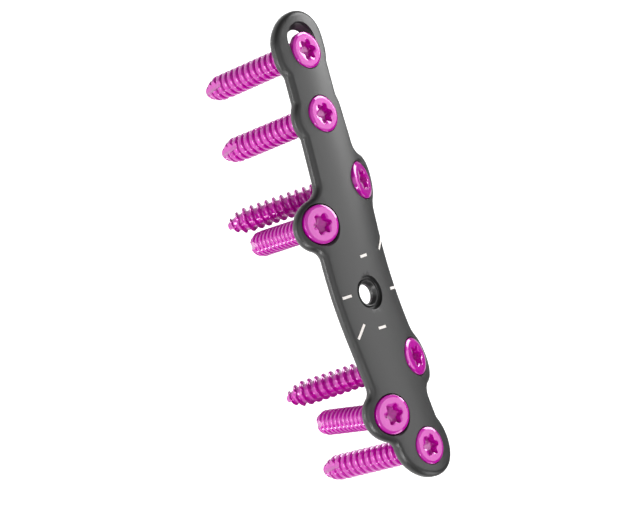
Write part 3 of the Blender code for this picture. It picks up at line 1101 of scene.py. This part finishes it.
class ThreadTree:
    """Geometry Nodes tree that sweeps one kind of thread down a shaft.

    A grid is wound into a helix. Its short side follows the thread's profile, its long
    side the turns, and neighbouring turns are welded. The tip and the cutting flutes
    are turned down from the same helix, so that the shaft is one closed skin.
    """

    turns = 20
    turn_steps = 72
    profile_steps = 20
    flutes = 3
    weld_distance = 0.001 * MM

    def __init__(self, kind: ScrewKind) -> None:
        """Build the tree for a kind of screw.

        Args:
            kind: The kind, whose sizes are the defaults of the tree's inputs.
        """
        form = kind.value
        sizes = {
            "Pitch": form.pitch,
            "Core Radius": form.core_radius,
            "Crest Radius": form.crest_radius,
            "Length": form.length,
            "Tip Length": form.tip_length,
            "Flute Depth": form.flute_depth,
            "Flute Radius": form.flute_radius,
            "Flute Lean": form.flute_lean,
            "Flute Turn": form.flute_turn,
        }
        counts = {
            "Turns": self.turns,
            "Turn Steps": self.turn_steps,
            "Profile Steps": self.profile_steps,
            "Flutes": self.flutes,
        }
        inputs = {name: ("NodeSocketFloat", value) for name, value in sizes.items()}
        inputs |= {name: ("NodeSocketInt", value) for name, value in counts.items()}
        inputs["Material"] = ("NodeSocketMaterial", None)
        self.tree, source, result = new_group(
            "bone_thread_" + kind.name.lower(),
            "GeometryNodeTree",
            inputs,
            {"Geometry": "NodeSocketGeometry"},
        )
        self.writer = TreeWriter(self.tree)
        self.source = source.outputs
        writer = self.writer
        cells = writer.math("MULTIPLY", self.source["Turns"], self.source["Turn Steps"])
        grid = writer.add("GeometryNodeMeshGrid", {
            "Size X": self.source["Turns"],
            "Size Y": 1.0,
            "Vertices X": writer.math("ADD", cells, 1.0),
            "Vertices Y": writer.math("ADD", self.source["Profile Steps"], 1.0),
        })
        position = writer.add("GeometryNodeInputPosition").outputs[0]
        flat = writer.add("ShaderNodeSeparateXYZ", {0: position}).outputs
        half = writer.math("MULTIPLY", self.source["Turns"], 0.5)
        wound = writer.math("ADD", flat["X"], half)
        share = writer.math("ADD", flat["Y"], 0.5)
        turn = writer.math("MULTIPLY", wound, -FULL_TURN)
        pitches = writer.math("SUBTRACT", writer.math("ADD", wound, share), 1.0)
        run = writer.math("MULTIPLY", pitches, self.source["Pitch"])
        radius = self.radius(share, run, turn, form)
        depth = writer.math("MINIMUM", writer.math("MAXIMUM", run, 0.0), self.source["Length"])
        place = writer.add("ShaderNodeCombineXYZ", {
            "X": writer.math("MULTIPLY", radius, writer.math("COSINE", turn)),
            "Y": writer.math("MULTIPLY", radius, writer.math("SINE", turn)),
            "Z": writer.math("MULTIPLY", depth, -1.0),
        })
        skin = grid.outputs["Mesh"]
        for step, extra in (
            ("GeometryNodeSetPosition", {"Position": place.outputs[0]}),
            ("GeometryNodeMergeByDistance", {"Distance": self.weld_distance}),
            ("GeometryNodeSetShadeSmooth", {}),
            ("GeometryNodeRealizeInstances", {}),
            ("GeometryNodeSetMaterial", {"Material": self.source["Material"]}),
        ):
            skin = writer.add(step, {"Geometry": skin} | extra).outputs[0]
        writer.fill(result, {"Geometry": skin})

    def radius(
        self,
        share: bpy.types.NodeSocket,
        run: bpy.types.NodeSocket,
        turn: bpy.types.NodeSocket,
        form: ThreadForm,
    ) -> bpy.types.NodeSocket:
        """Radius of the shaft at a point of the helix.

        Args:
            share: Place along one pitch, 0 to 1.
            run: Depth along the shaft.
            turn: Angle about the axis.
            form: The kind's profile and tip.

        Returns:
            The radius, 0 past both ends.
        """
        writer = self.writer
        height = writer.math("SUBTRACT", self.source["Crest Radius"], self.source["Core Radius"])
        shape = writer.curve(share, form.ridge)
        ridge = writer.math("MULTIPLY_ADD", shape, height, self.source["Core Radius"])
        left = writer.math("SUBTRACT", self.source["Length"], run)
        place = writer.math("DIVIDE", left, self.source["Tip Length"])
        nose = writer.curve(place, form.nose, sharp_start=True)
        turned = writer.math("MULTIPLY", ridge, nose)
        fluted = writer.math("MINIMUM", turned, self.flute(left, turn))
        started = writer.math("GREATER_THAN", run, 0.0)
        unfinished = writer.math("GREATER_THAN", left, 0.0)
        return writer.math("MULTIPLY", fluted, writer.math("MULTIPLY", started, unfinished))

    def flute(self, left: bpy.types.NodeSocket, turn: bpy.types.NodeSocket) -> bpy.types.NodeSocket:
        """Radius at which the nearest cutting flute meets the ray from the axis.

        Args:
            left: Height over the tip.
            turn: Angle about the axis.

        Returns:
            The flute's radius, or a large one beside it.
        """
        writer = self.writer
        sector = writer.math("DIVIDE", FULL_TURN, self.source["Flutes"])
        half = writer.math("MULTIPLY", sector, 0.5)
        turned = writer.math("SUBTRACT", turn, self.source["Flute Turn"])
        beside = writer.math("WRAP", turned, half, writer.math("MULTIPLY", half, -1.0))
        bar = self.source["Flute Radius"]
        near = writer.math("SUBTRACT", self.source["Crest Radius"], self.source["Flute Depth"])
        lean = writer.math("MULTIPLY", left, self.source["Flute Lean"])
        axis = writer.math("ADD", writer.math("ADD", near, bar), lean)
        forward = writer.math("MULTIPLY", axis, writer.math("COSINE", beside))
        aside = writer.math("MULTIPLY", axis, writer.math("SINE", beside))
        reach = writer.math("MULTIPLY", bar, bar)
        room = writer.math("SUBTRACT", reach, writer.math("MULTIPLY", aside, aside))
        chord = writer.math("SQRT", writer.math("MAXIMUM", room, 0.0))
        met = writer.math("SUBTRACT", forward, chord)
        missed = writer.math("LESS_THAN", room, 0.0)
        return writer.math("ADD", met, missed)

    def wind(self, made: bpy.types.Object, values: dict[str, object]) -> None:
        """Put the tree on an object, set its inputs and make the result plain mesh.

        Args:
            made: The object.
            values: Inputs by name.
        """
        modifier = made.modifiers.new("Thread", "NODES")
        modifier.node_group = self.tree
        for item in self.tree.interface.items_tree:
            if item.item_type == "SOCKET" and item.in_out == "INPUT" and item.name in values:
                modifier[item.identifier] = values[item.name]
        plain_mesh(made)


@dataclass
class BoneScrew:
    """One screw: its head with the socket, its seat in the plate and its thread.

    Heights are along the screw's axis, from the rim of the head's face. The seat's mouth
    has a small break, and half_cone is half the turn from the rim to the cone. The face
    has rings at face_shares of the way from the socket to the bevel.
    """

    name: str
    kind: ScrewKind
    placing: Matrix
    proud: float
    slotted: bool = False
    socket: SocketForm = SocketForm()
    seat_break: float = 0.08 * MM
    spigot_inset: float = 0.4 * MM
    thread_start: float = 0.04 * MM
    bevel_slope: float = 20.0 * DEG
    bevel_round: float = 0.11 * MM
    round_steps: int = 4
    half_cone: float = 22.5 * DEG
    face_shares: tuple[float, ...] = (0.25, 0.5, 0.75, 0.95)
    head_steps: int = 144
    crown_radius: float = 60.0 * MM
    sharp_angle: float = 40.0 * DEG

    def cone_top(self) -> float:
        """Height of the cone's wide end."""
        return -(self.kind.value.bevel_width + self.kind.value.rim_height)

    def cone_end(self) -> float:
        """Height of the cone's narrow end, where the thread begins."""
        return self.cone_top() - (self.kind.value.head_radius - self.kind.value.crest_radius)

    def seat_cutter(self, steps: int) -> bpy.types.Object:
        """The tool that sinks this screw's seat, in the screw's own frame.

        Args:
            steps: How many steps its rings have.

        Returns:
            The cutter, with its origin on the head's face.
        """
        form = self.kind.value
        bore = form.crest_radius + form.gap
        seat = form.head_radius + form.gap
        cone_top = self.cone_top() - form.gap * math.tan(self.half_cone)
        mouth = -self.proud - self.seat_break
        profile = (
            (seat + CUTTER_REACH - mouth, CUTTER_REACH),
            (seat, mouth),
            (seat, cone_top),
            (bore, cone_top - (seat - bore)),
            (bore, -2.0 * CUTTER_REACH),
        )
        return turned_cutter(self.name + "_seat_cutter", profile, steps)

    def crown(self, radius: float) -> float:
        """Height of the face's slight crown at a radius, its rim being at 0."""
        rim = self.kind.value.head_radius - self.kind.value.bevel_width
        return (rim**2 - radius**2) / (2.0 * self.crown_radius)

    def bevel(self) -> list[Point]:
        """The bevel round the face, rounded where it meets the face and the rim.

        Returns:
            Its points as radius and height, from the face outwards.
        """
        form = self.kind.value
        slope = self.bevel_slope
        steep = 90.0 * DEG - slope
        inner = form.head_radius - form.bevel_width - self.bevel_round * math.tan(slope / 2.0)
        drop = form.bevel_width * math.tan(slope) + self.bevel_round * math.tan(steep / 2.0)
        arcs = (
            (inner, -self.bevel_round, 90.0 * DEG, slope),
            (form.head_radius - self.bevel_round, -drop, steep, steep),
        )
        points: list[Point] = []
        for across, height, first, turn in arcs:
            for step in range(self.round_steps + 1):
                angle = first - turn * step / self.round_steps
                points.append((
                    across + self.bevel_round * math.cos(angle),
                    height + self.bevel_round * math.sin(angle),
                ))
        return points

    def head(self) -> bpy.types.Mesh:
        """Make the head: socket, face, bevel, rim, cone and the spigot in the thread.

        Returns:
            The head's mesh.
        """
        form = self.kind.value
        socket = self.socket
        steps = self.head_steps
        star = [socket.radius(FULL_TURN * step / steps) for step in range(steps)]

        def circle(radius: float, height: float) -> Ring:
            """A round ring."""
            return [radius] * steps, height

        def socket_ring(height: float, scale: float = 1.0, grow: float = 0.0) -> Ring:
            """A ring of the socket's outline, scaled and grown."""
            return [radius * scale + grow for radius in star], height

        brow = self.crown(socket.point_radius)
        broken = socket.break_share * socket.mouth_break
        rings = [
            circle(socket.drill_point, -socket.depth - socket.drill_depth),
            circle(socket.drill_share * socket.waist_radius, -socket.depth - socket.drill_step),
            socket_ring(-socket.depth, scale=socket.floor_share),
            socket_ring(-socket.depth + socket.floor_round),
            socket_ring(brow - socket.mouth_break),
            socket_ring(brow - broken, grow=broken),
            socket_ring(brow, grow=socket.mouth_break),
        ]
        mouth = socket.point_radius + socket.mouth_break
        face = form.head_radius - form.bevel_width - mouth
        for share in self.face_shares:
            radius = mouth + share * face
            rings.append(circle(radius, self.crown(radius)))
        rings += [circle(radius, height) for radius, height in self.bevel()]
        rings += [
            circle(form.head_radius, self.cone_top()),
            circle(form.crest_radius, self.cone_end()),
            circle(form.core_radius - self.spigot_inset, self.cone_end() - self.spigot_inset),
        ]
        return ring_mesh(self.name + "_head", rings, steps)

    def build(self, tree: ThreadTree, material: bpy.types.Material) -> bpy.types.Object:
        """Make the whole screw in its place.

        Args:
            tree: The thread's tree.
            material: The screw's finish.

        Returns:
            The finished screw.
        """
        form = self.kind.value
        top = self.cone_end() + self.thread_start
        length = form.length + top
        turns = math.ceil(length / form.pitch) + 1
        shaft = linked(self.name + "_finish", bpy.data.meshes.new(self.name))
        tree.wind(shaft, {"Length": length, "Turns": turns, "Material": material})
        shaft.data.transform(Matrix.Translation((0.0, 0.0, top)))
        head = linked(self.name + "_head", self.head())
        head.data.materials.append(material)
        cut_with(shaft, head, "UNION", "MANIFOLD")
        shaft.data.transform(self.placing)
        shaft.data.shade_smooth()
        shaft.data.set_sharp_from_angle(angle=self.sharp_angle)
        return shaft


@dataclass(frozen=True)
class SoftBox:
    """A flat studio lamp that is aimed at the plate. 1 is the brightness of white."""

    name: str
    place: tuple[float, float, float]
    width: float
    height: float
    brightness: float


@dataclass
class Studio:
    """Pale floor, soft lamps, pale surroundings and the photograph's camera."""

    floor_height: float = -250.0 * MM
    floor_size: float = 4.0
    floor_colour: Colour = (0.8, 0.8, 0.8, 1.0)
    floor_glow: float = 0.3
    backdrop_glow: float = 0.65
    horizon_light: float = 0.06
    zenith_light: float = 0.65
    dark_below: float = 34.0 * DEG
    light_above: float = 66.0 * DEG
    lens: float = 800.0
    sensor: float = 36.0
    frame_width: float = 85.5 * MM
    azimuth: float = -90.0 * DEG
    elevation: float = 43.0 * DEG
    roll: float = 72.53 * DEG
    shift_right: float = -6.76 * MM
    shift_up: float = 4.98 * MM
    clip_start: float = 10.0 * MM
    boxes: tuple[SoftBox, ...] = (
        SoftBox("key_strip", (-0.46, -0.322, 0.17), 0.1, 0.46, 12.0),
        SoftBox("front_box", (-0.55, 0.1, 0.3), 0.5, 0.6, 0.95),
        SoftBox("top_box", (0.28, -0.02, 0.44), 0.32, 0.42, 1.6),
        SoftBox("back_box", (0.324, 0.168, 0.163), 0.29, 0.18, 7.0),
        SoftBox("side_box", (0.179, -0.383, 0.154), 0.26, 0.26, 2.8),
        SoftBox("low_reflector", (-0.328, -0.058, -0.108), 0.6, 0.12, 0.9),
        SoftBox("low_strip", (-0.246, 0.035, -0.168), 0.12, 0.06, 9.0),
    )

    def axes(self) -> tuple[Vector, Vector, Vector]:
        """Where the camera's frame points.

        Returns:
            Its right, up and backward directions.
        """
        back = Vector((
            math.sin(self.azimuth) * math.cos(self.elevation),
            -math.cos(self.azimuth) * math.cos(self.elevation),
            math.sin(self.elevation),
        ))
        level = Vector((0.0, 0.0, 1.0)).cross(back).normalized()
        upright = back.cross(level)
        right = level * math.cos(self.roll) + upright * math.sin(self.roll)
        return right, back.cross(right), back

    def camera(self, centre: Vector) -> None:
        """Add the camera.

        Args:
            centre: The plate's outer face at its centre hole.
        """
        right, upward, back = self.axes()
        target = centre + right * self.shift_right + upward * self.shift_up
        distance = self.frame_width * self.lens / self.sensor
        data = bpy.data.cameras.new("photo_camera")
        data.lens = self.lens
        data.sensor_width = self.sensor
        data.clip_start = self.clip_start
        camera = bpy.data.objects.new("photo_camera", data)
        matrix = Matrix((right, upward, back)).transposed().to_4x4()
        matrix.translation = target + back * distance
        camera.matrix_world = matrix
        bpy.context.scene.collection.objects.link(camera)
        bpy.context.scene.camera = camera

    def lamp(self, box: SoftBox, target: Vector) -> None:
        """Add one lamp.

        Args:
            box: Its place, size and brightness.
            target: The point that it is aimed at.
        """
        data = bpy.data.lights.new(box.name, "AREA")
        data.shape = "RECTANGLE"
        data.size = box.width
        data.size_y = box.height
        data.energy = box.brightness * math.pi * box.width * box.height
        lamp = bpy.data.objects.new(box.name, data)
        lamp.location = box.place
        aim = target - Vector(box.place)
        lamp.rotation_euler = aim.to_track_quat("-Z", "Y").to_euler()
        lamp.visible_camera = False
        bpy.context.scene.collection.objects.link(lamp)

    def floor(self) -> None:
        """Add the floor, which shows white to the camera and keeps its shadows."""
        shape = bmesh.new()
        bmesh.ops.create_grid(shape, x_segments=1, y_segments=1, size=self.floor_size / 2.0)
        mesh = bpy.data.meshes.new("studio_floor")
        shape.to_mesh(mesh)
        shape.free()
        floor = linked("studio_floor", mesh)
        floor.location.z = self.floor_height
        material = bpy.data.materials.new("pale_floor")
        material.use_nodes = True
        material.node_tree.nodes.clear()
        writer = TreeWriter(material.node_tree)
        rays = writer.add("ShaderNodeLightPath").outputs
        mirrored = writer.math("MAXIMUM", rays["Is Glossy Ray"], rays["Is Transmission Ray"])
        mirrored = writer.math("MULTIPLY", mirrored, self.floor_glow)
        direct = writer.math("MULTIPLY", rays["Is Camera Ray"], self.backdrop_glow)
        shown = writer.math("MAXIMUM", direct, mirrored)
        paper = writer.add("ShaderNodeBsdfDiffuse", {"Color": self.floor_colour}).outputs[0]
        glow = writer.add("ShaderNodeEmission", {"Strength": shown}).outputs[0]
        both = writer.add("ShaderNodeAddShader", {0: paper, 1: glow}).outputs[0]
        writer.add("ShaderNodeOutputMaterial", {"Surface": both})
        floor.data.materials.append(material)

    def surroundings(self) -> None:
        """Set the world: white to the camera, and a sky that darkens to the horizon."""
        world = bpy.data.worlds.new("studio")
        world.use_nodes = True
        world.node_tree.nodes.clear()
        writer = TreeWriter(world.node_tree)
        generated = writer.add("ShaderNodeTexCoord").outputs["Generated"]
        direction = writer.add("ShaderNodeSeparateXYZ", {0: generated})
        spans = {
            "Value": direction.outputs["Z"],
            "From Min": math.sin(self.dark_below),
            "From Max": math.sin(self.light_above),
            "To Min": self.horizon_light,
            "To Max": self.zenith_light,
        }
        rise = writer.add("ShaderNodeMapRange", spans, interpolation_type="SMOOTHSTEP")
        sky = {"Color": WHITE, "Strength": rise.outputs["Result"]}
        light = writer.add("ShaderNodeBackground", sky).outputs[0]
        white = writer.add("ShaderNodeBackground", {"Color": WHITE}).outputs[0]
        seen = writer.add("ShaderNodeLightPath").outputs["Is Camera Ray"]
        mixed = writer.add("ShaderNodeMixShader", {0: seen, 1: light, 2: white}).outputs[0]
        writer.add("ShaderNodeOutputWorld", {"Surface": mixed})
        bpy.context.scene.world = world

    def build(self, centre: Vector) -> None:
        """Set up the whole studio.

        Args:
            centre: The plate's outer face at its centre hole.
        """
        bpy.context.scene.view_settings.view_transform = "Standard"
        self.camera(centre)
        self.floor()
        self.surroundings()
        for box in self.boxes:
            self.lamp(box, centre)
        log.info("studio: floor, %d lamps and camera", len(self.boxes))


MARKS = (
    EtchedDash((0.1 * MM, 4.92 * MM), (1.36 * MM, 4.96 * MM)),
    EtchedDash((-4.46 * MM, 0.32 * MM), (-3.09 * MM, 0.32 * MM)),
    EtchedDash((4.28 * MM, -0.32 * MM), (5.7 * MM, -0.32 * MM)),
    EtchedDash((-0.82 * MM, -4.9 * MM), (0.51 * MM, -4.91 * MM)),
    EtchedDash((-2.73 * MM, -3.8 * MM), (-4.34 * MM, -5.49 * MM)),
    EtchedDash((6.07 * MM, 6.64 * MM), (4.47 * MM, 5.12 * MM)),
)

SCREW_KINDS = {
    "slot_screw": ScrewKind.CORTICAL,
    "upper_neck_screw": ScrewKind.CORTICAL,
    "upper_coarse_screw": ScrewKind.CANCELLOUS,
    "upper_locking_screw": ScrewKind.LOCKING,
    "lower_coarse_screw": ScrewKind.CANCELLOUS,
    "lower_locking_screw": ScrewKind.LOCKING,
    "end_screw": ScrewKind.CORTICAL,
}


@dataclass
class PlateSet:
    """The plate with its seven screws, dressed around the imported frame."""

    frame: dict
    plate: PlateForm
    cortical_proud: float = 0.2 * MM
    angled_proud: float = 0.15 * MM
    plane_slack: float = 0.002 * MM
    plate_sharp_angle: float = 28.0 * DEG

    def placing(self, name: str) -> Matrix:
        """Where a packed screw's head face lies.

        Args:
            name: The screw's node.

        Returns:
            A frame with its origin in the face's middle and its Z out of the head.
        """
        mounts = {mount["name"]: mount for mount in self.frame["record"]["mounts"]}
        axis = Vector(mounts[name + "_face"]["axis"]).normalized()
        along = (Vector((0.0, 1.0, 0.0)) - axis * axis.y).normalized()
        across = along.cross(axis)
        points = [vertex.co for vertex in self.frame["nodes"][name].data.vertices]
        height = max(point.dot(axis) for point in points)
        face = [point for point in points if point.dot(axis) > height - self.plane_slack]
        centre = axis * height
        for side in (across, along):
            reach = [point.dot(side) for point in face]
            centre += side * (min(reach) + max(reach)) / 2.0
        matrix = Matrix((across, along, axis)).transposed().to_4x4()
        matrix.translation = centre
        return matrix

    def screws(self) -> list[BoneScrew]:
        """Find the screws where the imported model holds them.

        Returns:
            The seven screws.
        """
        made = []
        for name, kind in SCREW_KINDS.items():
            proud = self.cortical_proud if kind is ScrewKind.CORTICAL else self.angled_proud
            slotted = name == "slot_screw"
            made.append(BoneScrew(name, kind, self.placing(name), proud, slotted))
        return made

    def dress(self, piece: bpy.types.Object, node: str) -> None:
        """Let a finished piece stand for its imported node.

        Args:
            piece: The finished piece.
            node: The node that it replaces.
        """
        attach(piece, BODY)
        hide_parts(node)
        log.info("%s: %d faces", piece.name, len(piece.data.polygons))

    def build(self) -> None:
        """Make and dress every piece."""
        grain = GrainGroup()
        screws = self.screws()
        plate = self.plate.drilled("plate_finish", screws)
        plate.data.materials.clear()
        plate.data.materials.append(PlateFinish().build(grain, DashGroup(), self.plate))
        plate.data.shade_smooth()
        plate.data.set_sharp_from_angle(angle=self.plate_sharp_angle)
        weighted = plate.modifiers.new("Weighted Normal", "WEIGHTED_NORMAL")
        weighted.keep_sharp = True
        plain_mesh(plate)
        self.dress(plate, "plate")
        finishes = {kind: kind.value.finish.build(grain) for kind in ScrewKind}
        trees = {kind: ThreadTree(kind) for kind in ScrewKind}
        for screw in screws:
            piece = screw.build(trees[screw.kind], finishes[screw.kind])
            self.dress(piece, screw.name)


def main() -> None:
    """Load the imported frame, dress it and set up the studio."""
    logging.basicConfig(level=logging.INFO, format="%(message)s")
    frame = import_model()
    plate = PlateForm(marks=MARKS)
    PlateSet(frame, plate).build()
    Studio().build(plate.outer_point(0.0, 0.0))


if __name__ == "__main__":
    main()
